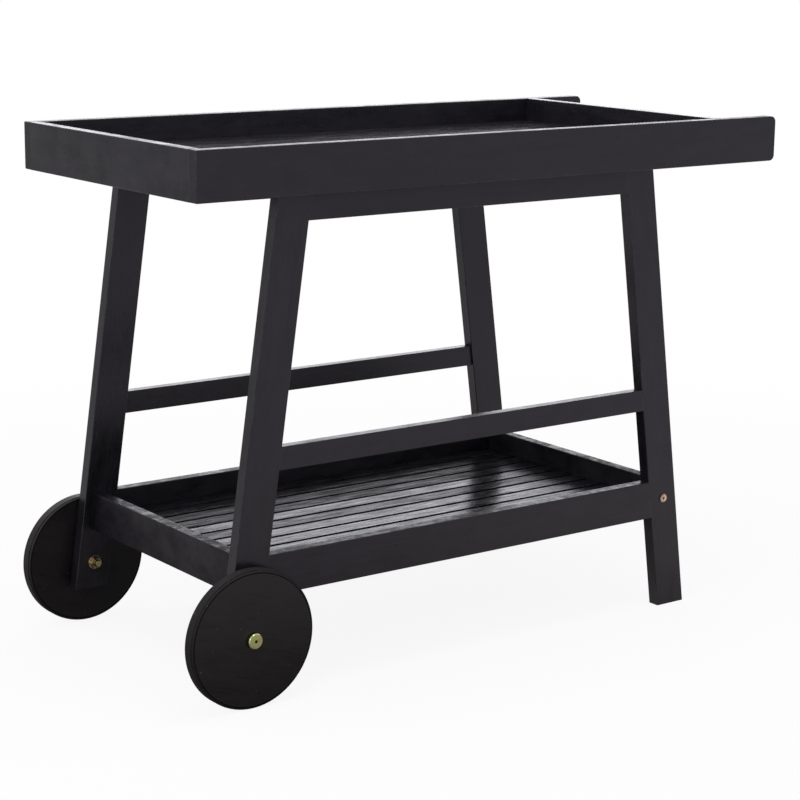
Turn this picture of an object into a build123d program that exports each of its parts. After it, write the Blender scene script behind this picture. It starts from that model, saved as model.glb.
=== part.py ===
from build123d import *
import math
import os

# Sizes in millimetres. +X is the handle end, -Y the front, +Z up, and the floor is at Z = 0.

# Tray
overall_height = 850.0
tray_length = 1053.0              # over the two end boards
tray_width = 531.0                # over the two long rails
tray_rail_height = 76.5
tray_rail_thickness = 20.0
tray_end_thickness = 20.0
handle_reach = 113.0              # rail left free past the end board
handle_corner_radius = 10.0
rail_end_radius = 2.0             # the other end of the rail is nearly square
tray_floor_depth = 40.5           # rim down to the floor boards
tray_board_count = 7
tray_board_thickness = 15.0
tray_board_gap = 4.5
tray_board_edge_gap = 2.5         # outer boards to the rails
tray_batten_height = 18.0
tray_batten_width = 40.0
tray_cross_batten_count = 3       # between the aprons, besides one at each end

# Side frames
leg_width = 59.5                  # across the grain of the slanted leg
leg_thickness = 21.5
leg_splay = 8.0                   # degrees from upright
tray_overhang = 152.5             # tray end past the leg's outer edge, at the rails' underside
wheel_leg_foot_height = 65.0      # the legs at the wheel end stop short of the floor
apron_height = 61.0
apron_thickness = 20.0
stretcher_height = 37.0
stretcher_thickness = 18.0
stretcher_middle = 375.5          # height of its centre line
shelf_rail_height = 65.0
shelf_rail_thickness = 20.0
shelf_rail_middle = 195.5         # height of its centre line
tenon_length = 22.0
tenon_thickness = 8.0
tenon_shoulder = 9.0              # above and below each tenon

# Shelf
shelf_end_thickness = 20.0
shelf_floor_depth = 36.0          # shelf rail's top edge down to the slats
shelf_slat_count = 11
shelf_slat_thickness = 12.0
shelf_slat_gap = 8.0
shelf_slat_edge_gap = 5.5         # outer slats to the shelf rails
shelf_batten_height = 14.0
shelf_batten_width = 30.0
shelf_cross_batten_count = 2      # besides one at each end

# Wheels and their axle bolts
wheel_radius = 109.0
wheel_thickness = 23.0
wheel_edge_radius = 3.5           # quarter-round on both faces
wheel_ledge = 1.2                 # narrow step between the quarter-round and the rim
axle_diameter = 10.0
axle_head_diameter = 24.5
axle_head_thickness = 4.5
axle_head_bevel = 1.2
axle_socket_width = 5.0           # hex key, across flats
axle_socket_depth = 3.0
axle_end_length = 3.0             # bolt end that shows past the nut
spacer_diameter = 30.0
spacer_thickness = 5.0            # keeps the wheel off the leg
head_washer_diameter = 20.0
head_washer_thickness = 2.0
nut_washer_diameter = 24.0
nut_washer_thickness = 2.0
nut_width = 16.0                  # across flats
nut_hex_height = 6.5
nut_collar_height = 3.0           # round collar of the lock nut
nut_collar_inset = 1.0            # collar radius inside the flats

# Connector bolts that hold the shelf's end boards to the legs
connector_diameter = 6.0
connector_head_diameter = 15.0
connector_head_thickness = 2.5
connector_head_bevel = 0.7
connector_socket_width = 4.0
connector_socket_depth = 1.8
connector_reach = 32.0            # bolt length inside the end board
barrel_nut_diameter = 10.0
barrel_nut_length = 14.0
barrel_nut_depth = 24.0           # from the end of the board to the nut's axis

# Clearances and eased edges
edge_round = 1.3
slat_edge_round = 0.4
batten_edge_round = 1.5
tenon_clearance = 0.2             # all round a tenon
board_end_gap = 1.0               # floor boards and slats to the end boards
axle_hole_clearance = 0.25        # bolt in the leg, on the radius
wheel_running_clearance = 0.08    # wheel on the bolt, on the radius
wheel_side_clearance = 0.3        # wheel to the spacer and to the head washer
washer_clearance = 0.2            # washers on the bolt, on the radius
thread_clearance = 0.05           # nuts on their bolts, on the radius
connector_hole_clearance = 0.3    # on the radius
barrel_hole_clearance = 0.1       # on the radius

# Levels and planes that follow from the sizes
slope = math.tan(math.radians(leg_splay))
leg_level_width = leg_width / math.cos(math.radians(leg_splay))
leg_spread = tray_length - 2 * tray_overhang - leg_level_width
rail_bottom = overall_height - tray_rail_height
tray_floor_top = overall_height - tray_floor_depth
tray_floor_bottom = tray_floor_top - tray_board_thickness
apron_bottom = tray_floor_bottom - apron_height
shelf_rail_top = shelf_rail_middle + shelf_rail_height / 2
shelf_rail_bottom = shelf_rail_middle - shelf_rail_height / 2
shelf_floor_bottom = shelf_rail_top - shelf_floor_depth - shelf_slat_thickness
rail_outer = tray_width / 2
rail_inner = rail_outer - tray_rail_thickness
leg_outer = rail_inner
leg_inner = leg_outer - leg_thickness
wheel_inner_face = leg_outer + spacer_thickness + wheel_side_clearance
wheel_outer_face = wheel_inner_face + wheel_thickness
head_washer_face = wheel_outer_face + wheel_side_clearance
head_face = head_washer_face + head_washer_thickness
nut_face = leg_inner - nut_washer_thickness
axle_end = nut_face - nut_hex_height - nut_collar_height - axle_end_length


def leg_offset(height):
    return leg_spread / 2 + slope * (rail_bottom - height)


# The origin is midway between the foremost wheel edge, or tray end, and the handle ends.
right_reach = tray_length / 2 + handle_reach
left_reach = max(tray_length / 2, leg_offset(wheel_radius) + wheel_radius)
centre_x = (left_reach - right_reach) / 2
left_end = centre_x - tray_length / 2
right_end = centre_x + tray_length / 2
handle_end = centre_x + right_reach
wheel_x = centre_x - leg_offset(wheel_radius)


def eased_rectangle(width, height, radius):
    return RectangleRounded(width, height, min(radius, 0.45 * min(width, height)))


def bar_along_x(x_low, x_high, y_middle, z_low, z_high, depth, radius):
    profile = Plane.YZ * eased_rectangle(depth, z_high - z_low, radius)
    return Pos(x_low, y_middle, (z_low + z_high) / 2) * extrude(profile, x_high - x_low)


def bar_along_y(x_middle, y_low, y_high, z_low, z_high, width, radius):
    profile = Plane.XZ * eased_rectangle(width, z_high - z_low, radius)
    bar = extrude(profile, (y_high - y_low) / 2, both=True)
    return Pos(x_middle, (y_low + y_high) / 2, (z_low + z_high) / 2) * bar


def rod_along_y(radius, y_low, y_high):
    rod = extrude(Plane.XZ * Circle(radius), (y_high - y_low) / 2, both=True)
    return Pos(0, (y_low + y_high) / 2, 0) * rod


def ring_along_y(outer_radius, inner_radius, y_low, y_high):
    return rod_along_y(outer_radius, y_low, y_high) - rod_along_y(inner_radius, y_low, y_high)


def hex_along_y(width, y_low, y_high):
    profile = Plane.XZ * RegularPolygon(width / 2, 6, major_radius=False)
    return Pos(0, (y_low + y_high) / 2, 0) * extrude(profile, (y_high - y_low) / 2, both=True)


def plain_box(x_low, x_high, y_low, y_high, z_low, z_high):
    middle = Pos((x_low + x_high) / 2, (y_low + y_high) / 2, (z_low + z_high) / 2)
    return middle * Box(x_high - x_low, y_high - y_low, z_high - z_low)


def spaced(count, low, high):
    # Evenly spaced middles of a number of pieces between two ends.
    return [low + (high - low) * (index + 1) / (count + 1) for index in range(count)]


def lane_centres(count, gap, half_span, edge_gap):
    # Boards side by side over a span, with equal gaps: their width and their middles.
    width = (2 * half_span - 2 * edge_gap - (count - 1) * gap) / count
    first = -half_span + edge_gap + width / 2
    return width, [first + index * (width + gap) for index in range(count)]


def level_band(z_low, z_high):
    # Everything between two levels, wider than the cart.
    return plain_box(centre_x - tray_length, centre_x + tray_length, -tray_width, tray_width, z_low, z_high)


def between_legs(extra):
    # The trapezium between the slanted inner edges of two legs, widened on both sides.
    corners = []
    for height in (0, overall_height):
        reach = leg_offset(height) - leg_level_width / 2 + extra
        corners.append((reach, height))
    (low_reach, low), (high_reach, high) = corners
    outline = Polyline(
        (centre_x - low_reach, low),
        (centre_x + low_reach, low),
        (centre_x + high_reach, high),
        (centre_x - high_reach, high),
        close=True,
    )
    return extrude(Plane.XZ * make_face(outline), tray_width, both=True)


def rail_levels():
    # Each rail that is let into the legs: lowest and highest level, and thickness.
    return {
        "apron": (apron_bottom, tray_floor_bottom, apron_thickness),
        "stretcher": (
            stretcher_middle - stretcher_height / 2,
            stretcher_middle + stretcher_height / 2,
            stretcher_thickness,
        ),
        "shelf_rail": (shelf_rail_bottom, shelf_rail_top, shelf_rail_thickness),
    }


def tenon_bar(z_low, z_high, thickness, side, clearance):
    # Long bar of the tenon's section, in the middle of the thinner of the rail and the leg.
    y_middle = side * (leg_outer - min(thickness, leg_thickness) / 2)
    half_depth = tenon_thickness / 2 + clearance
    return plain_box(
        centre_x - tray_length,
        centre_x + tray_length,
        y_middle - half_depth,
        y_middle + half_depth,
        z_low + tenon_shoulder - clearance,
        z_high - tenon_shoulder + clearance,
    )


def side_rail(z_low, z_high, thickness, side):
    # A rail flush with the legs' outer faces, with slanted shoulders and a tenon at each end.
    y_middle = side * (leg_outer - thickness / 2)
    body = bar_along_x(
        centre_x - tray_length, centre_x + tray_length, y_middle, z_low, z_high, thickness, edge_round
    )
    tenon = tenon_bar(z_low, z_high, thickness, side, 0) & between_legs(tenon_length)
    return (body & between_legs(0)) + tenon


def leg(end, side):
    # end is -1 at the wheels and +1 at the handles, side is -1 at the front and +1 at the back.
    foot = wheel_leg_foot_height if end < 0 else 0.0
    y_middle = side * (leg_outer - leg_thickness / 2)
    axis = Plane(
        origin=(centre_x + end * leg_spread / 2, y_middle, rail_bottom),
        x_dir=(1, 0, end * slope),
        z_dir=(-end * slope, 0, 1),
    )
    stock = extrude(axis * eased_rectangle(leg_width, leg_thickness, edge_round), overall_height, both=True)
    square_stock = extrude(axis * Rectangle(leg_width, leg_thickness), overall_height, both=True)
    shape = stock & level_band(foot, tray_floor_bottom)
    for z_low, z_high, thickness in rail_levels().values():
        # The eased edges stop where a rail's shoulder meets the leg.
        meeting = level_band(z_low + edge_round, z_high - edge_round) & between_legs(leg_width / 2)
        shape += square_stock & meeting
        socket = tenon_bar(z_low, z_high, thickness, side, tenon_clearance)
        shape -= socket & between_legs(tenon_length + tenon_clearance)
    hole = rod_along_y(connector_diameter / 2 + connector_hole_clearance, -tray_width, tray_width)
    shape -= Pos(shelf_end_x(end), 0, shelf_rail_middle) * hole
    if end < 0:
        hole = rod_along_y(axle_diameter / 2 + axle_hole_clearance, -tray_width, tray_width)
        shape -= Pos(wheel_x, 0, wheel_radius) * hole
    return shape


def shelf_end_x(end):
    return centre_x + end * leg_offset(shelf_rail_middle)


def tray_end_x(end):
    return centre_x + end * (tray_length - tray_end_thickness) / 2


def end_board_tenon(end, clearance):
    # Stub tenons of a tray end board, running right through to the bottoms of both mortises.
    reach = rail_inner + tray_rail_thickness / 2 + clearance
    half_width = tenon_thickness / 2 + clearance
    return plain_box(
        tray_end_x(end) - half_width,
        tray_end_x(end) + half_width,
        -reach,
        reach,
        rail_bottom + tenon_shoulder - clearance,
        overall_height - tenon_shoulder + clearance,
    )


def tray_rail(side):
    # A long rail with a rounded free end, which is the handle.
    y_low, y_high = sorted((side * rail_inner, side * rail_outer))
    outline = Rectangle(handle_end - left_end, tray_rail_height)
    corners = outline.vertices().group_by(Axis.X)
    outline = fillet(corners[0], rail_end_radius)
    corners = outline.vertices().group_by(Axis.X)
    outline = fillet(corners[-1], handle_corner_radius)
    stock = extrude(Plane.XZ * outline, tray_rail_thickness / 2, both=True)
    rims = [face.edges() for face in stock.faces().filter_by(Axis.Y)]
    stock = fillet(rims[0] + rims[1], min(edge_round, 0.45 * tray_rail_thickness))
    middle = Pos((left_end + handle_end) / 2, (y_low + y_high) / 2, rail_bottom + tray_rail_height / 2)
    # The eased edge stops where the end board butts against the rail.
    meet_low, meet_high = sorted((side * rail_inner, side * (rail_inner + rail_outer) / 2))
    meeting = plain_box(
        left_end,
        left_end + tray_end_thickness,
        meet_low,
        meet_high,
        rail_bottom + edge_round + rail_end_radius,
        overall_height - edge_round - rail_end_radius,
    )
    shape = middle * stock + meeting
    for end in (-1, 1):
        shape -= end_board_tenon(end, tenon_clearance)
    return shape


def tray_end_board(end):
    board = bar_along_y(
        tray_end_x(end), -rail_inner, rail_inner, rail_bottom, overall_height, tray_end_thickness, edge_round
    )
    return board + end_board_tenon(end, 0)


def tray_boards():
    width, middles = lane_centres(tray_board_count, tray_board_gap, rail_inner, tray_board_edge_gap)
    x_low = left_end + tray_end_thickness + board_end_gap
    x_high = right_end - tray_end_thickness - board_end_gap
    return [
        bar_along_x(x_low, x_high, middle, tray_floor_bottom, tray_floor_top, width, slat_edge_round)
        for middle in middles
    ]


def tray_battens():
    # One batten against each end board, and cross battens between the aprons.
    z_low = tray_floor_bottom - tray_batten_height
    inset = tray_end_thickness + tray_batten_width / 2
    reach = leg_offset(tray_floor_bottom) - leg_level_width / 2
    inner = leg_outer - apron_thickness
    places = [(left_end + inset, rail_inner)]
    places += [(x, inner) for x in spaced(tray_cross_batten_count, centre_x - reach, centre_x + reach)]
    places += [(right_end - inset, rail_inner)]
    return [
        bar_along_y(x, -half, half, z_low, tray_floor_bottom, tray_batten_width, batten_edge_round)
        for x, half in places
    ]


def shelf_end_board(end):
    board = bar_along_y(
        shelf_end_x(end),
        -leg_inner,
        leg_inner,
        shelf_rail_bottom,
        shelf_rail_top,
        shelf_end_thickness,
        edge_round,
    )
    nut_top = shelf_rail_middle + barrel_nut_length / 2
    nut_radius = barrel_nut_diameter / 2 + barrel_hole_clearance
    for side in (-1, 1):
        y_low, y_high = sorted((side * leg_inner, side * (leg_inner - connector_reach)))
        hole = rod_along_y(connector_diameter / 2 + connector_hole_clearance, y_low, y_high)
        board -= Pos(shelf_end_x(end), 0, shelf_rail_middle) * hole
        nut_hole = extrude(Circle(nut_radius), nut_top - shelf_rail_bottom)
        board -= Pos(shelf_end_x(end), side * (leg_inner - barrel_nut_depth), shelf_rail_bottom) * nut_hole
    return board


def shelf_slats():
    inner = leg_outer - max(shelf_rail_thickness, leg_thickness)
    width, middles = lane_centres(shelf_slat_count, shelf_slat_gap, inner, shelf_slat_edge_gap)
    x_low = shelf_end_x(-1) + shelf_end_thickness / 2 + board_end_gap
    x_high = shelf_end_x(1) - shelf_end_thickness / 2 - board_end_gap
    z_high = shelf_floor_bottom + shelf_slat_thickness
    return [
        bar_along_x(x_low, x_high, middle, shelf_floor_bottom, z_high, width, slat_edge_round)
        for middle in middles
    ]


def shelf_battens():
    # One batten against each end board, between the legs, and cross battens between the rails.
    z_low = shelf_floor_bottom - shelf_batten_height
    inset = shelf_end_thickness / 2 + shelf_batten_width / 2
    low, high = shelf_end_x(-1) + inset, shelf_end_x(1) - inset
    end_half = leg_outer - max(shelf_rail_thickness, leg_thickness)
    cross_half = leg_outer - shelf_rail_thickness
    places = [(low, end_half)]
    places += [(x, cross_half) for x in spaced(shelf_cross_batten_count, low, high)]
    places += [(high, end_half)]
    return [
        bar_along_y(x, -half, half, z_low, shelf_floor_bottom, shelf_batten_width, batten_edge_round)
        for x, half in places
    ]


def wheel():
    # A turned disc: each face ends in a quarter-round and a narrow ledge inside the rim.
    radius = min(wheel_edge_radius, 0.45 * wheel_thickness)
    bore = axle_diameter / 2 + wheel_running_clearance
    face_reach = wheel_radius - wheel_ledge - radius
    ledge_start = wheel_radius - wheel_ledge
    outer, inner = wheel_outer_face, wheel_inner_face
    outline = [
        *Polyline((face_reach, inner), (bore, inner), (bore, outer), (face_reach, outer)).edges(),
        TangentArc((face_reach, outer), (ledge_start, outer - radius), tangent=(1, 0)),
        *Polyline(
            (ledge_start, outer - radius),
            (wheel_radius, outer - radius),
            (wheel_radius, inner + radius),
            (ledge_start, inner + radius),
        ).edges(),
        TangentArc((face_reach, inner), (ledge_start, inner + radius), tangent=(1, 0)),
    ]
    return revolve(make_face(outline), Axis.Y)


def socket_bolt(diameter, head_diameter, head_thickness, head_bevel, socket_width, socket_depth, seat, end):
    # A round-headed bolt along Y, its head outside the seat, with a hex socket in the head.
    head = rod_along_y(head_diameter / 2, seat, seat + head_thickness)
    rim = head.edges().filter_by(GeomType.CIRCLE).sort_by(Axis.Y)[-1]
    head = chamfer(rim, min(head_bevel, 0.45 * head_thickness))
    socket = hex_along_y(socket_width, seat + head_thickness - socket_depth, seat + head_thickness)
    return head + rod_along_y(diameter / 2, end, seat) - socket


def axle_bolt():
    return socket_bolt(
        axle_diameter,
        axle_head_diameter,
        axle_head_thickness,
        axle_head_bevel,
        axle_socket_width,
        axle_socket_depth,
        head_face,
        axle_end,
    )


def lock_nut():
    hex_end = nut_face - nut_hex_height
    collar_end = hex_end - nut_collar_height
    body = hex_along_y(nut_width, hex_end, nut_face)
    body += rod_along_y(nut_width / 2 - nut_collar_inset, collar_end, hex_end)
    return body - rod_along_y(axle_diameter / 2 + thread_clearance, collar_end, nut_face)


def axle_stack():
    # Everything on one axle, outside the wheel to inside the leg, at the back (+Y) side.
    washer_bore = axle_diameter / 2 + washer_clearance
    return {
        "wheel": wheel(),
        "axle_bolt": axle_bolt(),
        "head_washer": ring_along_y(head_washer_diameter / 2, washer_bore, head_washer_face, head_face),
        "wheel_spacer": ring_along_y(
            spacer_diameter / 2, washer_bore, leg_outer, leg_outer + spacer_thickness
        ),
        "nut_washer": ring_along_y(nut_washer_diameter / 2, washer_bore, nut_face, leg_inner),
        "lock_nut": lock_nut(),
    }


def connector_bolt():
    return socket_bolt(
        connector_diameter,
        connector_head_diameter,
        connector_head_thickness,
        connector_head_bevel,
        connector_socket_width,
        connector_socket_depth,
        leg_outer,
        leg_inner - connector_reach,
    )


def barrel_nut():
    nut = extrude(Circle(barrel_nut_diameter / 2), barrel_nut_length / 2, both=True)
    y_middle = leg_inner - barrel_nut_depth
    nut = Pos(0, y_middle, 0) * nut
    bore = rod_along_y(
        connector_diameter / 2 + thread_clearance, y_middle - barrel_nut_diameter, y_middle + barrel_nut_diameter
    )
    return nut - bore


def at_four_corners(piece):
    # Copies of a piece made at the back side, at each of the four legs.
    copies = []
    for end in (-1, 1):
        for turn in (0, 180):
            copies.append(Pos(shelf_end_x(end), 0, shelf_rail_middle) * Rot(0, 0, turn) * piece)
    return Compound(children=copies)


ends = {"left": -1, "right": 1}
sides = {"front": -1, "back": 1}
parts = {}
for side_name, side in sides.items():
    parts[f"tray_rail_{side_name}"] = tray_rail(side)
    for rail_name, (z_low, z_high, thickness) in rail_levels().items():
        parts[f"{rail_name}_{side_name}"] = side_rail(z_low, z_high, thickness, side)
    for end_name, end in ends.items():
        parts[f"leg_{side_name}_{end_name}"] = leg(end, side)
    turn = 0 if side > 0 else 180
    for piece_name, piece in axle_stack().items():
        parts[f"{piece_name}_{side_name}"] = Pos(wheel_x, 0, wheel_radius) * Rot(0, 0, turn) * piece
for end_name, end in ends.items():
    parts[f"tray_end_board_{end_name}"] = tray_end_board(end)
    parts[f"shelf_end_board_{end_name}"] = shelf_end_board(end)
rows = {
    "tray_board": tray_boards(),
    "tray_batten": tray_battens(),
    "shelf_slat": shelf_slats(),
    "shelf_batten": shelf_battens(),
}
for row_name, pieces in rows.items():
    for number, piece in enumerate(pieces, 1):
        parts[f"{row_name}_{number}"] = piece
parts["connector_bolts"] = at_four_corners(connector_bolt())
parts["barrel_nuts"] = at_four_corners(barrel_nut())

os.makedirs("parts", exist_ok=True)
for name, shape in parts.items():
    export_step(shape, f"parts/{name}.step")
print(len(parts), "pieces")
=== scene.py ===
import math
import bpy
from mathutils import Matrix, Vector


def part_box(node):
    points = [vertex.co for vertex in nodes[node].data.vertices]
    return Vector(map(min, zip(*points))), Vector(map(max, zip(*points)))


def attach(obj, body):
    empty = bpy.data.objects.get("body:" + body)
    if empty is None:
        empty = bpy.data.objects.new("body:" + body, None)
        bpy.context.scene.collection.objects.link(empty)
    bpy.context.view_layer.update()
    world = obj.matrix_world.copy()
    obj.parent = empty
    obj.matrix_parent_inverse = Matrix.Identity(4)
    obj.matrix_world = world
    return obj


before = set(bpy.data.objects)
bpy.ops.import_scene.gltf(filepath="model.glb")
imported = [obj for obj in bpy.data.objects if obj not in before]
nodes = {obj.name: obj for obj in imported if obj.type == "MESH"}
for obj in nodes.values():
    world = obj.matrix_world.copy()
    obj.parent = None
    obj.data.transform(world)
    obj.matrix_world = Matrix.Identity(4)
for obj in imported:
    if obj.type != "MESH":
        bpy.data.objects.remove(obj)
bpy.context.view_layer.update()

print("frame loaded:", len(nodes), "pieces")


class Flow:
    # wraps a node socket, so that maths on it reads as a plain expression
    def __init__(self, tree, out=None):
        self.tree = tree
        self.out = out

    def add(self, kind, settings=None, inputs=None, result=0):
        node = self.tree.nodes.new(kind)
        for key, value in (settings or {}).items():
            setattr(node, key, value)
        for key, value in (inputs or {}).items():
            for item in value if isinstance(value, list) else [value]:
                if isinstance(item, Flow):
                    self.tree.links.new(item.out, node.inputs[key])
                else:
                    node.inputs[key].default_value = item
        return Flow(self.tree, node.outputs[result] if node.outputs else None)

    def maths(self, operation, first, second=0.0):
        return self.add("ShaderNodeMath", {"operation": operation}, {0: first, 1: second})

    def __add__(self, other):
        return self.maths("ADD", self, other)

    def __radd__(self, other):
        return self.maths("ADD", other, self)

    def __sub__(self, other):
        return self.maths("SUBTRACT", self, other)

    def __rsub__(self, other):
        return self.maths("SUBTRACT", other, self)

    def __mul__(self, other):
        return self.maths("MULTIPLY", self, other)

    def __rmul__(self, other):
        return self.maths("MULTIPLY", other, self)

    def __truediv__(self, other):
        return self.maths("DIVIDE", self, other)

    def floor(self):
        return self.maths("FLOOR", self)

    def size(self):
        return self.maths("ABSOLUTE", self)

    def atLeast(self, other):
        return self.maths("MAXIMUM", self, other)

    def atMost(self, other):
        return self.maths("MINIMUM", self, other)

    def fade(self, low, high):
        # 0 below low, 1 above high, smooth between
        return self.add(
            "ShaderNodeMapRange",
            {"interpolation_type": "SMOOTHSTEP"},
            {"Value": self, "From Min": low, "From Max": high},
        )

    def tint(self, first, second):
        # a colour between two, by this value
        return self.add("ShaderNodeMix", {"data_type": "RGBA"}, {0: self, 6: first, 7: second}, 2)

    def vector(self, operation, other, result="Vector"):
        return self.add("ShaderNodeVectorMath", {"operation": operation}, {0: self, 1: other}, result)

    def length(self):
        return self.add("ShaderNodeVectorMath", {"operation": "LENGTH"}, {0: self}, "Value")

    def axis(self, name):
        return self.add("ShaderNodeSeparateXYZ", None, {"Vector": self}, name)

    def noise(self, scale, detail=3.0, roughness=0.5, distortion=0.0):
        values = {
            "Vector": self,
            "Scale": scale,
            "Detail": detail,
            "Roughness": roughness,
            "Distortion": distortion,
        }
        return self.add("ShaderNodeTexNoise", None, values, "Fac")

    def centred(self):
        # a noise or a chance about zero
        return self - 0.5


def newMaterial(name):
    material = bpy.data.materials.new(name)
    material.use_nodes = True
    tree = material.node_tree
    tree.nodes.clear()
    return material, Flow(tree)


def finishMaterial(flow, surface):
    flow.add("ShaderNodeOutputMaterial", None, {"Surface": surface})


def middleOf(name):
    low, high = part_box(name)
    return (Vector(low) + Vector(high)) / 2


def pitchOf(row):
    # from one board of a row to the next, across the cart
    return abs(middleOf(row + "_2").y - middleOf(row + "_1").y)


def fromAxle(place, name):
    # distance from the middle line of a round piece, which lies along Y
    spoke = place.vector("SUBTRACT", middleOf(name)).vector("MULTIPLY", (1.0, 0.0, 1.0))
    return spoke.length()


# black stained wood: the grain runs along X after the turn
stainedWood = {
    "darkStain": (0.0040, 0.0036, 0.0050, 1.0),
    "thinStain": (0.0180, 0.0160, 0.0215, 1.0),
    "warmStain": (0.0085, 0.0070, 0.0075, 1.0),
    "poreStainAndShade": (0.0028, 0.0025, 0.0032, 1.0),
    "endGrain": (0.0075, 0.0056, 0.0052, 1.0),
    "rubbedEdge": (0.110, 0.085, 0.068, 1.0),
    "dustSpeck": (0.17, 0.16, 0.15, 1.0),
    "coolSheen": (0.94, 0.89, 1.0, 1.0),
    "warmSheen": (1.0, 0.95, 0.97, 1.0),
    "ior": 1.5,
    "laneShift": 3.7,               # moves each board's grain away from its neighbour's
    "middleTone": 0.45,
    "toneReach": (0.05, 0.85),      # from dark to thin stain
    "toneShare": {"fine": 0.6, "broad": 0.5, "blotches": 0.7, "smudges": 1.0, "lane": 0.2},
    "dullness": {"fine": 0.16, "pores": 0.10, "lane": 0.08, "blotches": 0.20, "smudges": 0.20, "ends": 0.16},
    "leastRoughness": 0.10,
    "mostRoughness": 0.85,
    "height": {"fine": 0.5, "broad": 0.35, "smudges": 0.15, "pores": 0.5},
    "bumpDepth": 0.0004,
    "warmReach": (0.35, 0.65),
    "warmShare": (0.5, 0.4),        # everywhere, and more in the blotches
    "poreShare": 0.6,
    "endReach": (0.80, 0.95),       # how squarely a face looks along the grain
    "endShare": 0.8,
    "edgeWidth": 0.0030,
    "edgeReach": (0.02, 0.14),
    "scuffShare": 0.8,
    "laneWear": 0.4,                # some boards are more worn than others
    "topReach": (0.80, 0.95),       # how squarely a face looks up
    "speckCells": 75.0,
    "speckSize": (0.03, 0.09),
    "speckChance": (0.30, 0.85),
    "rimInset": (0.0050, 0.0030),   # in from the edge of a wheel
    "ledgeStart": (0.0055, 0.0050),
    "ledgeStop": (0.0038, 0.0032),
    "ledgeShade": 0.8,
}
# patterns on the wood: drawn out along the grain, noise scale, detail, roughness and distortion, fade
woodPatterns = {
    "fineGrain": {"stretch": (0.035, 1.0, 1.0), "noise": (900.0, 4.0, 0.6, 0.3)},
    "broadGrain": {"stretch": (0.035, 1.0, 1.0), "noise": (95.0, 3.0, 0.55, 0.8)},
    "pores": {"stretch": (0.035, 1.0, 1.0), "noise": (1700.0, 2.0, 0.5), "fade": (0.60, 0.72)},
    "blotches": {"stretch": (0.4, 1.0, 1.0), "noise": (14.0, 4.0, 0.6, 0.5)},
    "smudges": {"noise": (42.0, 4.0, 0.55, 0.4)},
    "rubbing": {"noise": (26.0, 6.0, 0.75), "fade": (0.47, 0.62)},
    "wear": {"stretch": (0.07, 1.0, 1.0), "noise": (190.0, 6.0, 0.72, 0.3), "fade": (0.10, 0.84)},
    "scuffs": {"stretch": (0.25, 1.0, 1.0), "noise": (40.0, 6.0, 0.7, 1.0), "fade": (0.52, 0.68)},
    "wipes": {"noise": (28.0, 5.0, 0.6, 0.3), "fade": (0.30, 0.70)},
    "handling": {"noise": (42.0, 5.0, 0.7), "fade": (0.30, 0.60)},
    "scratches": {"stretch": (0.05, 1.0, 1.0), "noise": (260.0, 2.0, 0.4, 0.2), "fade": (0.61, 0.68)},
}
# what differs from one kind of board to the next
plainBoard = {
    "turn": (0.0, 0.0, 0.0),   # brings the grain onto X
    "lane": 0.0,               # pitch of boards laid side by side
    "gloss": 0.30,             # roughness
    "mottle": 1.0,             # strength of the blotches
    "smear": (0.5, 1.0, 1.0),  # which way the smudges are drawn out
    "relief": 0.32,            # bump of the grain
    "streaks": 0.0,            # sheen lost in worn streaks
    "wipes": 0.0,              # sheen lost in wiped patches
    "tops": 0.0,               # sheen lost in patches on the upward faces
    "dust": 0.0,               # pale specks and dark scratches
    "warm": False,             # browner stain and sheen
    "rub": 0.6,                # stain lost along the edges
    "disc": None,              # node whose round edge is duller
    "edgeDullness": 0.0,       # roughness added there
}


def woodPattern(place, name, stretch=None):
    pattern = woodPatterns[name]
    stretch = pattern.get("stretch", stretch)
    drawn = place.vector("MULTIPLY", stretch) if stretch else place
    drawn = drawn.noise(*pattern["noise"])
    return drawn.fade(*pattern["fade"]) if "fade" in pattern else drawn


def inFromEdge(distance, radius, insets):
    # fades in between two distances from the edge of a disc
    far, near = insets
    return distance.fade(radius - far, radius - near)


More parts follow.
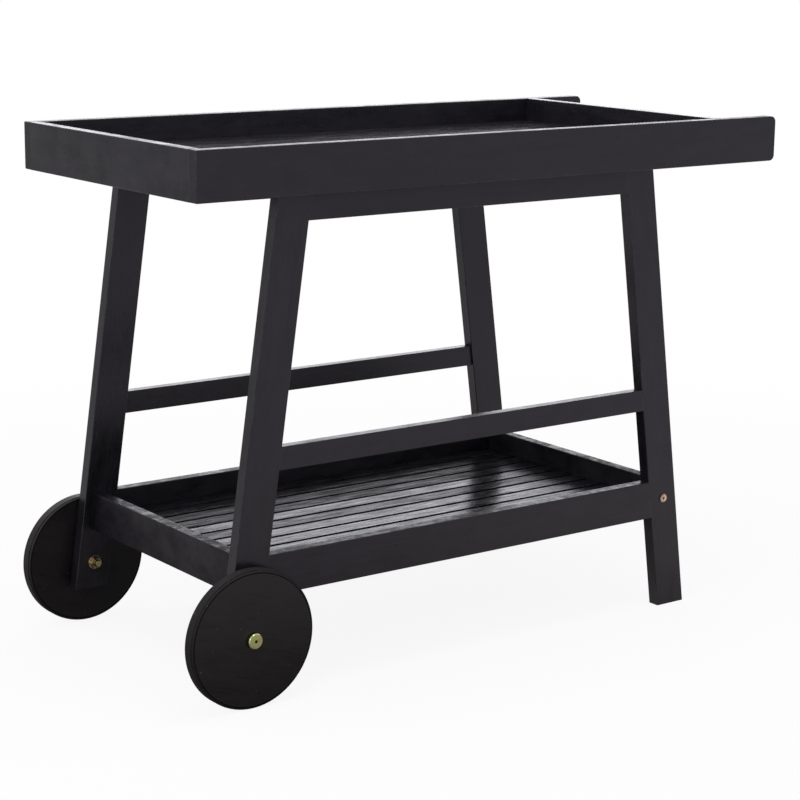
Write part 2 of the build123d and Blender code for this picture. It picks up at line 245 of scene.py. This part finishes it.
def blackWood(name, **changes):
    make = stainedWood
    board = {**plainBoard, **changes}
    material, flow = newMaterial(name)
    place = flow.add("ShaderNodeTexCoord", result="Object")
    moved = flow.add("ShaderNodeMapping", None, {"Vector": place, "Rotation": board["turn"]})
    ownTone = 0.0
    if board["lane"]:
        number = (moved.axis("Y") / board["lane"] + 0.5).floor()
        chance = flow.add("ShaderNodeTexWhiteNoise", {"noise_dimensions": "1D"}, {"W": number}, "Value")
        shift = flow.add("ShaderNodeCombineXYZ", None, {"X": chance * make["laneShift"], "Z": chance})
        moved = moved.vector("ADD", shift)
        ownTone = chance.centred()
    fine = woodPattern(moved, "fineGrain")
    broad = woodPattern(moved, "broadGrain")
    pores = woodPattern(moved, "pores")
    blotches = woodPattern(moved, "blotches")
    smudges = woodPattern(moved, "smudges", board["smear"])
    share = make["toneShare"]
    variation = (
        fine.centred() * share["fine"]
        + broad.centred() * share["broad"]
        + blotches.centred() * share["blotches"]
        + smudges.centred() * share["smudges"]
    )
    tone = variation * board["mottle"] + ownTone * share["lane"] + make["middleTone"]
    stain = tone.fade(*make["toneReach"]).tint(make["darkStain"], make["thinStain"])
    if board["warm"]:
        everywhere, more = make["warmShare"]
        stain = (blotches.fade(*make["warmReach"]) * more + everywhere).tint(stain, make["warmStain"])
    stain = (pores * make["poreShare"]).tint(stain, make["poreStainAndShade"])
    # the ends, where the grain comes out, are browner and duller
    outward = flow.add("ShaderNodeTexCoord", result="Normal")
    turned = {"Vector": outward, "Rotation": board["turn"]}
    facing = flow.add("ShaderNodeMapping", {"vector_type": "VECTOR"}, turned)
    ends = facing.axis("X").size().fade(*make["endReach"])
    stain = (ends * make["endShare"]).tint(stain, make["endGrain"])
    # a little stain is rubbed off along some of the edges
    soft = flow.add("ShaderNodeBevel", {"samples": 4}, {"Radius": make["edgeWidth"]})
    flat = flow.add("ShaderNodeNewGeometry", result="Normal")
    rounded = (1.0 - soft.vector("DOT_PRODUCT", flat, "Value")).fade(*make["edgeReach"])
    rubbed = rounded * woodPattern(moved, "rubbing")
    stain = (rubbed * board["rub"]).tint(stain, make["rubbedEdge"])
    dull = make["dullness"]
    rough = board["gloss"] + fine.centred() * dull["fine"] + pores * dull["pores"] + ownTone * dull["lane"]
    patches = blotches.centred() * dull["blotches"] + smudges.centred() * dull["smudges"]
    rough = rough + patches * board["mottle"] + ends * dull["ends"]
    # where the sheen is gone, the bare stain shows
    matt = None
    if board["streaks"]:
        worn = woodPattern(moved, "wear").atLeast(woodPattern(moved, "scuffs") * make["scuffShare"])
        matt = (worn + ownTone * make["laneWear"]).atLeast(0.0) * board["streaks"]
    if board["wipes"]:
        matt = woodPattern(moved, "wipes", board["smear"]) * board["wipes"]
    if board["tops"]:
        handled = outward.axis("Z").fade(*make["topReach"]) * woodPattern(moved, "handling") * board["tops"]
        matt = matt.atLeast(handled) if matt else handled
    if board["dust"]:
        cells = {"Vector": moved, "Scale": make["speckCells"], "Randomness": 1.0}
        near = flow.add("ShaderNodeTexVoronoi", None, cells, "Distance")
        pick = flow.add("ShaderNodeTexVoronoi", None, cells, "Color").axis("X")
        specks = (1.0 - near.fade(*make["speckSize"])) * pick.fade(*make["speckChance"])
        stain = (specks * board["dust"]).tint(stain, make["dustSpeck"])
        scratches = woodPattern(moved, "scratches")
        stain = (scratches * board["dust"]).tint(stain, make["poreStainAndShade"])
    if board["disc"]:
        low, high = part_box(board["disc"])
        radius = (high[2] - low[2]) / 2
        reach = fromAxle(place, board["disc"])
        rim = inFromEdge(reach, radius, make["rimInset"])
        # painted shade: a thin ring in from the wheel's edge takes the darkest stain and loses its sheen
        ledgeShadeRing = inFromEdge(reach, radius, make["ledgeStart"]) - inFromEdge(reach, radius, make["ledgeStop"])
        rough = rough + rim * board["edgeDullness"]
        matt = ledgeShadeRing * make["ledgeShade"]
        stain = matt.tint(stain, make["poreStainAndShade"])
    rise = make["height"]
    height = fine * rise["fine"] + broad * rise["broad"] + smudges * rise["smudges"] - pores * rise["pores"]
    grain = {"Strength": board["relief"], "Distance": make["bumpDepth"], "Height": height}
    relief = flow.add("ShaderNodeBump", None, grain)
    surface = flow.add(
        "ShaderNodeBsdfPrincipled",
        None,
        {
            "Base Color": stain,
            "Roughness": rough.atLeast(make["leastRoughness"]).atMost(make["mostRoughness"]),
            "IOR": make["ior"],
            "Specular Tint": make["warmSheen"] if board["warm"] else make["coolSheen"],
            "Normal": relief,
        },
    )
    if matt:
        bare = flow.add("ShaderNodeBsdfDiffuse", None, {"Color": stain})
        surface = flow.add("ShaderNodeMixShader", None, {0: matt, 1: surface, 2: bare})
    finishMaterial(flow, surface)
    return material


# zinc plate: a thin coloured film, with painted shade down in the recesses
zinc = {
    "gold": (1.0, 0.91, 0.40, 1.0),
    "green": (0.76, 1.0, 0.43, 1.0),
    "rose": (0.84, 0.56, 0.46, 1.0),
    "straw": (0.86, 0.79, 0.54, 1.0),
    "rust": (0.50, 0.30, 0.24, 1.0),
    "insert": (0.030, 0.028, 0.022, 1.0),
    "darkSteel": (0.42, 0.42, 0.43, 1.0),
    "paleSteel": (0.66, 0.66, 0.66, 1.0),
    "grimeAndShade": (0.020, 0.014, 0.010, 1.0),
    "film": (150.0, 3.0, 0.5, 0.6),  # noise scale, detail, roughness and distortion
    "filmReach": (0.42, 0.62),
    "patches": (105.0, 2.0),
    "patchShift": (3.1, 1.7, 0.4),
    "patchReach": (0.52, 0.68),
    "patchShare": 0.75,
    "grimeReach": (0.35, 0.55),
    "brushing": (2400.0, 3.0),
    "brushStretch": (1.0, 0.2, 1.0),
    "brushRelief": 0.08,
    "brushDepth": 0.0002,
    "roughness": 0.15,
    "leastRoughness": 0.08,
    "dullness": {"brushing": 0.10, "patches": 0.12, "recess": 0.3},
    "recess": 0.007,
    "recessReach": (0.25, 0.80),
    "recessShadeShare": 0.92,
    "insertRadius": 0.0062,          # soft ring inside the lock nut's collar
    "insertEdge": 0.0003,
}


def zincPlate(name, first, second, third, grimeAndShade=0.0, nut=None):
    material, flow = newMaterial(name)
    place = flow.add("ShaderNodeTexCoord", result="Object")
    film = place.noise(*zinc["film"])
    patches = place.vector("ADD", zinc["patchShift"]).noise(*zinc["patches"])
    colour = film.fade(*zinc["filmReach"]).tint(zinc[first], zinc[second])
    colour = (patches.fade(*zinc["patchReach"]) * zinc["patchShare"]).tint(colour, zinc[third])
    colour = (grimeAndShade * patches.fade(*zinc["grimeReach"])).tint(colour, zinc["grimeAndShade"])
    if nut:
        radius = zinc["insertRadius"]
        inner = 1.0 - fromAxle(place, nut).fade(radius - zinc["insertEdge"], radius)
        colour = inner.tint(colour, zinc["insert"])
    # painted shade: an ambient occlusion mask darkens the colour in recesses, sockets and under heads, where
    # shade falls
    clear = flow.add("ShaderNodeAmbientOcclusion", {"samples": 8}, {"Distance": zinc["recess"]}, "AO")
    deep = 1.0 - clear.fade(*zinc["recessReach"])
    colour = (deep * zinc["recessShadeShare"]).tint(colour, zinc["grimeAndShade"])
    brushed = place.vector("MULTIPLY", zinc["brushStretch"]).noise(*zinc["brushing"])
    brushing = {"Strength": zinc["brushRelief"], "Distance": zinc["brushDepth"], "Height": brushed}
    relief = flow.add("ShaderNodeBump", None, brushing)
    dull = zinc["dullness"]
    rough = zinc["roughness"] + brushed.centred() * dull["brushing"] + patches.centred() * dull["patches"]
    rough = (rough + deep * dull["recess"]).atLeast(zinc["leastRoughness"])
    surface = flow.add(
        "ShaderNodeBsdfPrincipled",
        None,
        {"Base Color": colour, "Metallic": 1.0, "Roughness": rough, "Normal": relief},
    )
    finishMaterial(flow, surface)
    return material


# each kind of board has its own grain direction and gloss
legSplay = math.radians(8.0)
upright = math.radians(90.0)
across = (0.0, 0.0, upright)
endSmear = (0.7, 1.0, 0.8)
wheelGrain = (0.0, math.radians(-17.0), 0.0)
wheel = {"turn": wheelGrain, "gloss": 0.40, "dust": 0.9, "warm": True, "mottle": 1.3, "rub": 0.2}
boards = {
    "trayRail": {"rub": 0.8, "mottle": 0.7, "tops": 0.35},
    "sideRail": {"gloss": 0.32, "tops": 0.1},
    "shelfRail": {"gloss": 0.32, "tops": 0.6},
    "trayBoard": {"lane": pitchOf("tray_board"), "gloss": 0.20, "relief": 0.10, "streaks": 0.15},
    "shelfSlat": {"lane": pitchOf("shelf_slat"), "gloss": 0.25, "relief": 0.26, "streaks": 0.98},
    "trayEnd": {"turn": across, "gloss": 0.32, "mottle": 1.6, "smear": endSmear, "wipes": 0.20},
    "handleEnd": {"turn": across, "gloss": 0.28, "mottle": 0.6},
    "shelfEnd": {"turn": across, "gloss": 0.34, "smear": endSmear, "wipes": 0.45, "tops": 0.75},
    "batten": {"turn": across, "gloss": 0.40},
    "leftLeg": {"turn": (0.0, upright - legSplay, 0.0), "gloss": 0.27},
    "rightLeg": {"turn": (0.0, upright + legSplay, 0.0), "gloss": 0.27},
    "frontWheel": {**wheel, "disc": "wheel_front", "edgeDullness": 0.5},
    "backWheel": {**wheel, "disc": "wheel_back", "edgeDullness": 0.1},
}
plates = {
    # two colours of the film, a third in patches, then grime and the nut with the soft ring
    "yellowZinc": ("gold", "green", "rose"),
    "connectorZinc": ("rose", "straw", "rust", 0.25),
    "nutZinc": ("straw", "gold", "rust", 0.5, "lock_nut_front"),
    "washerZinc": ("straw", "rose", "rust", 0.6),
    "brightZinc": ("darkSteel", "paleSteel", "darkSteel"),
}
finishes = {kind: blackWood(kind + "Wood", **changes) for kind, changes in boards.items()}
for kind, choice in plates.items():
    finishes[kind] = zincPlate(kind, *choice)
finishOf = {
    "tray_rail": "trayRail",
    "apron": "sideRail",
    "stretcher": "sideRail",
    "shelf_rail": "shelfRail",
    "tray_board": "trayBoard",
    "shelf_slat": "shelfSlat",
    "tray_end_board_left": "trayEnd",
    "tray_end_board_right": "handleEnd",
    "shelf_end_board": "shelfEnd",
    "tray_batten": "batten",
    "shelf_batten": "batten",
    "leg_front_left": "leftLeg",
    "leg_back_left": "leftLeg",
    "leg_front_right": "rightLeg",
    "leg_back_right": "rightLeg",
    "wheel_front": "frontWheel",
    "wheel_back": "backWheel",
    "connector_bolts": "connectorZinc",
    "lock_nut": "nutZinc",
    "nut_washer": "washerZinc",
    "barrel_nuts": "brightZinc",
}


def finishFor(name):
    for start, finish in finishOf.items():
        if name.startswith(start):
            return finishes[finish]
    return finishes["yellowZinc"]


for name, piece in nodes.items():
    piece.data.materials.clear()
    piece.data.materials.append(finishFor(name))
print("finishes set:", len(finishes))


# wood screws that hold the boards and slats to their battens, and the aprons to the tray rails
screwHead = {
    "Head Radius": 0.0038,
    "Head Height": 0.0020,
    "Crown": 0.72,
    "Recess Length": 0.0044,
    "Recess Width": 0.0011,
    "Recess Depth": 0.0013,
    "Sides": 16,
    "Seed": 11,
}
screwSink = 0.0002
apronScrewCount = 4


def screwTree():
    tree = bpy.data.node_groups.new("screwHeads", "GeometryNodeTree")
    sockets = tree.interface
    sockets.new_socket("Points", in_out="INPUT", socket_type="NodeSocketGeometry")
    for name, value in screwHead.items():
        kind = "NodeSocketInt" if isinstance(value, int) else "NodeSocketFloat"
        sockets.new_socket(name, in_out="INPUT", socket_type=kind)
    sockets.new_socket("Finish", in_out="INPUT", socket_type="NodeSocketMaterial")
    sockets.new_socket("Screws", in_out="OUTPUT", socket_type="NodeSocketGeometry")
    flow = Flow(tree)
    entry = tree.nodes.new("NodeGroupInput")
    given = {socket.name: Flow(tree, socket) for socket in entry.outputs if socket.name}
    radius, height = given["Head Radius"], given["Head Height"]
    head = flow.add(
        "GeometryNodeMeshCone",
        None,
        {
            "Vertices": given["Sides"],
            "Radius Top": radius * given["Crown"],
            "Radius Bottom": radius,
            "Depth": height,
        },
    )
    # the recess is a cross of two bars, each half sunk into the top of the head
    top = flow.add("ShaderNodeCombineXYZ", None, {"Z": height})
    long, narrow, deep = given["Recess Length"], given["Recess Width"], given["Recess Depth"] * 2.0
    arms = []
    for x, y in ((long, narrow), (narrow, long)):
        size = flow.add("ShaderNodeCombineXYZ", None, {"X": x, "Y": y, "Z": deep})
        arm = flow.add("GeometryNodeMeshCube", None, {"Size": size})
        arms.append(flow.add("GeometryNodeTransform", None, {"Geometry": arm, "Translation": top}))
    cut = flow.add("GeometryNodeMeshBoolean", {"operation": "DIFFERENCE"}, {"Mesh 1": head, "Mesh 2": arms})
    stored = {"data_type": "FLOAT_VECTOR"}
    aim = flow.add("GeometryNodeInputNamedAttribute", stored, {"Name": "aim"}, "Attribute")
    facing = flow.add("FunctionNodeAlignRotationToVector", {"axis": "Z"}, {"Vector": aim})
    # each screw stops at its own angle within a quarter turn
    chance = flow.add("FunctionNodeRandomValue", None, {2: 0.0, 3: math.pi / 2, "Seed": given["Seed"]}, 1)
    turn = flow.add("FunctionNodeAxisAngleToRotation", None, {"Axis": (0.0, 0.0, 1.0), "Angle": chance})
    turned = flow.add(
        "FunctionNodeRotateRotation",
        {"rotation_space": "LOCAL"},
        {"Rotation": facing, "Rotate By": turn},
    )
    placed = flow.add(
        "GeometryNodeInstanceOnPoints",
        None,
        {"Points": given["Points"], "Instance": cut, "Rotation": turned},
    )
    whole = flow.add("GeometryNodeRealizeInstances", None, {"Geometry": placed})
    finished = flow.add("GeometryNodeSetMaterial", None, {"Geometry": whole, "Material": given["Finish"]})
    flow.add("NodeGroupOutput", None, {"Screws": finished})
    return tree


def screwPlaces():
    # where each screw sits and which way its head faces
    places = []
    for batten, board in (("tray_batten_", "tray_board_"), ("shelf_batten_", "shelf_slat_")):
        for battenName in sorted(name for name in nodes if name.startswith(batten)):
            low = Vector(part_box(battenName)[0])
            for boardName in sorted(name for name in nodes if name.startswith(board)):
                spot = Vector((middleOf(battenName).x, middleOf(boardName).y, low.z))
                places.append((spot, Vector((0.0, 0.0, -1.0))))
    for side, inward in (("front", 1.0), ("back", -1.0)):
        low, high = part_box("apron_" + side)
        level = (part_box("tray_rail_" + side)[0][2] + high[2]) / 2
        face = high[1] if inward > 0 else low[1]
        for number in range(apronScrewCount):
            along = low[0] + (high[0] - low[0]) * (number + 0.5) / apronScrewCount
            places.append((Vector((along, face, level)), Vector((0.0, inward, 0.0))))
    return places


def woodScrews():
    places = screwPlaces()
    mesh = bpy.data.meshes.new("woodScrews")
    mesh.from_pydata([spot - aim * screwSink for spot, aim in places], [], [])
    aims = mesh.attributes.new("aim", "FLOAT_VECTOR", "POINT")
    for index, (spot, aim) in enumerate(places):
        aims.data[index].vector = aim
    screws = bpy.data.objects.new("woodScrews", mesh)
    bpy.context.scene.collection.objects.link(screws)
    tree = screwTree()
    modifier = screws.modifiers.new("screwHeads", "NODES")
    modifier.node_group = tree
    values = {**screwHead, "Finish": finishes["yellowZinc"]}
    for socket in tree.interface.items_tree:
        if socket.in_out == "INPUT" and socket.name in values:
            modifier[socket.identifier] = values[socket.name]
    evaluated = screws.evaluated_get(bpy.context.evaluated_depsgraph_get())
    finished = bpy.data.meshes.new_from_object(evaluated)
    screws.modifiers.clear()
    screws.data = finished
    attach(screws, "cart")
    print("wood screws:", len(places))


woodScrews()


# plain studio: white floor and backdrop, a dimmer room in front, soft lamps
studio = {
    "floorSize": 24.0,
    "paleCard": (0.95, 0.95, 0.95, 1.0),
    "bounceCard": (0.26, 0.26, 0.26, 1.0),
    "white": (1.0, 1.0, 1.0, 1.0),
    "black": (0.0, 0.0, 0.0, 1.0),
    "shadowShare": 0.10,
    "shadowReach": (0.9, 2.6),
    "mirrorCentre": (-0.30, 0.0, 0.0),
    "nearMirrorShade": 0.11,
    "frontMirror": 0.66,
    "frontReach": (0.25, 1.15),
    "backMirror": 0.62,
    "backReach": (0.25, 1.0),
    "behindReach": (0.3, 0.9),
    "farBackMirror": 0.44,
    "farBackReach": (1.2, 2.8),
    "warmNear": (1.0, 0.95, 0.92, 1.0),
    "coolFar": (0.98, 0.96, 1.0, 1.0),
    "coolReach": (0.5, 2.2),
    "roomLight": 0.50,
    "frontLight": 0.48,
    "backdropReach": (-0.6, 0.7),
    "sideReach": (-0.6, 0.2),
    "lamps": [
        # name, place, aim, width, height, watts, colour
        ("overhead", (-0.4, -0.3, 2.9), (-0.1, 0.0, 0.6), 2.4, 2.4, 40.0, (1.0, 1.0, 1.0)),
        ("leftSoft", (-2.9, -1.2, 1.7), (0.0, 0.0, 0.5), 1.8, 1.8, 18.0, (1.0, 1.0, 1.0)),
        ("backSoft", (2.25, 3.3, 1.25), (0.0, 0.0, 0.5), 2.8, 1.1, 21.0, (0.92, 0.93, 1.0)),
    ],
}


def inReflection(flow):
    # 1 for what is seen mirrored or through something
    mirrored = flow.add("ShaderNodeLightPath", result="Is Glossy Ray")
    through = flow.add("ShaderNodeLightPath", result="Is Transmission Ray")
    return (mirrored + through).atMost(1.0)


def studioFloor():
    half = studio["floorSize"] / 2
    mesh = bpy.data.meshes.new("floor")
    corners = [(-half, -half, 0.0), (half, -half, 0.0), (half, half, 0.0), (-half, half, 0.0)]
    mesh.from_pydata(corners, [], [(0, 1, 2, 3)])
    floor = bpy.data.objects.new("floor", mesh)
    bpy.context.scene.collection.objects.link(floor)
    material, flow = newMaterial("floorWhite")
    place = flow.add("ShaderNodeTexCoord", result="Object")
    away = place.length()
    seen = flow.add("ShaderNodeLightPath", result="Is Camera Ray")
    pale = flow.add("ShaderNodeBsdfDiffuse", None, {"Color": studio["paleCard"]})
    bounce = flow.add("ShaderNodeBsdfDiffuse", None, {"Color": studio["bounceCard"]})
    white = flow.add("ShaderNodeEmission", None, {"Color": studio["white"]})
    # the shadow stays near the cart, so that no horizon shows
    shaded = studio["shadowShare"] * (1.0 - away.fade(*studio["shadowReach"]))
    shown = flow.add("ShaderNodeMixShader", None, {0: 1.0 - shaded, 1: pale, 2: white})
    # in reflections the floor glows instead of being lit, with painted shade that keeps it dim beside the
    # cart; it brightens away from it
    apart = place.vector("SUBTRACT", studio["mirrorCentre"]).length()
    front = apart.fade(*studio["frontReach"]) * (studio["frontMirror"] - studio["nearMirrorShade"])
    depth = place.axis("Y")
    back = depth.fade(*studio["backReach"]) * (studio["backMirror"] - studio["nearMirrorShade"])
    back = back - depth.fade(*studio["farBackReach"]) * (studio["backMirror"] - studio["farBackMirror"])
    behind = depth.fade(*studio["behindReach"])
    glow = studio["nearMirrorShade"] + front * (1.0 - behind) + back * behind
    card = away.fade(*studio["coolReach"]).tint(studio["warmNear"], studio["coolFar"])
    glowing = flow.add("ShaderNodeEmission", None, {"Color": glow.tint(studio["black"], card)})
    bounced = flow.add("ShaderNodeMixShader", None, {0: inReflection(flow), 1: bounce, 2: glowing})
    finishMaterial(flow, flow.add("ShaderNodeMixShader", None, {0: seen, 1: bounced, 2: shown}))
    mesh.materials.append(material)


def studioWorld():
    world = bpy.data.worlds.new("whiteRoom")
    world.use_nodes = True
    world.node_tree.nodes.clear()
    flow = Flow(world.node_tree)
    seen = flow.add("ShaderNodeLightPath", result="Is Camera Ray")
    direction = flow.add("ShaderNodeTexCoord", result="Generated")
    backdrop = direction.axis("Y").fade(*studio["backdropReach"])
    backdrop = backdrop * direction.axis("X").fade(*studio["sideReach"])
    reflected = studio["frontLight"] + backdrop * (1.0 - studio["frontLight"])
    strength = studio["roomLight"] + inReflection(flow) * (reflected - studio["roomLight"])
    strength = strength + seen * (1.0 - strength)
    room = flow.add("ShaderNodeBackground", None, {"Color": studio["white"], "Strength": strength})
    flow.add("ShaderNodeOutputWorld", None, {"Surface": room})
    bpy.context.scene.world = world


def studioLamps():
    for name, place, aim, width, height, watts, colour in studio["lamps"]:
        light = bpy.data.lights.new(name, "AREA")
        light.shape = "RECTANGLE"
        light.size = width
        light.size_y = height
        light.energy = watts
        light.color = colour
        lamp = bpy.data.objects.new(name, light)
        lamp.location = place
        lamp.rotation_euler = (Vector(aim) - Vector(place)).to_track_quat("-Z", "Y").to_euler()
        lamp.visible_camera = False
        bpy.context.scene.collection.objects.link(lamp)


studioFloor()
studioWorld()
studioLamps()
print("studio ready")


# viewpoint worked out from the straight edges in the photograph
viewpoint = {
    "place": (-2.1440, -2.8711, 1.1591),
    "turn": -36.600,
    "tilt": -12.406,
    "roll": 0.682,
    "lens": 96.46,
    "sensor": 36.0,
}


def studioCamera():
    turn, tilt, roll = (math.radians(viewpoint[key]) for key in ("turn", "tilt", "roll"))
    forward = Vector((-math.sin(turn) * math.cos(tilt), math.cos(turn) * math.cos(tilt), math.sin(tilt)))
    right = Vector((math.cos(turn), math.sin(turn), 0.0))
    up = right.cross(forward)
    rolledRight = right * math.cos(roll) + up * math.sin(roll)
    rolledUp = up * math.cos(roll) - right * math.sin(roll)
    data = bpy.data.cameras.new("camera")
    data.sensor_width = viewpoint["sensor"]
    data.lens = viewpoint["lens"]
    camera = bpy.data.objects.new("camera", data)
    spin = Matrix((rolledRight, rolledUp, -forward)).transposed().to_4x4()
    camera.matrix_world = Matrix.Translation(viewpoint["place"]) @ spin
    bpy.context.scene.collection.objects.link(camera)
    bpy.context.scene.camera = camera


studioCamera()
print("camera placed")
bpy.context.scene.view_settings.view_transform = "Standard"
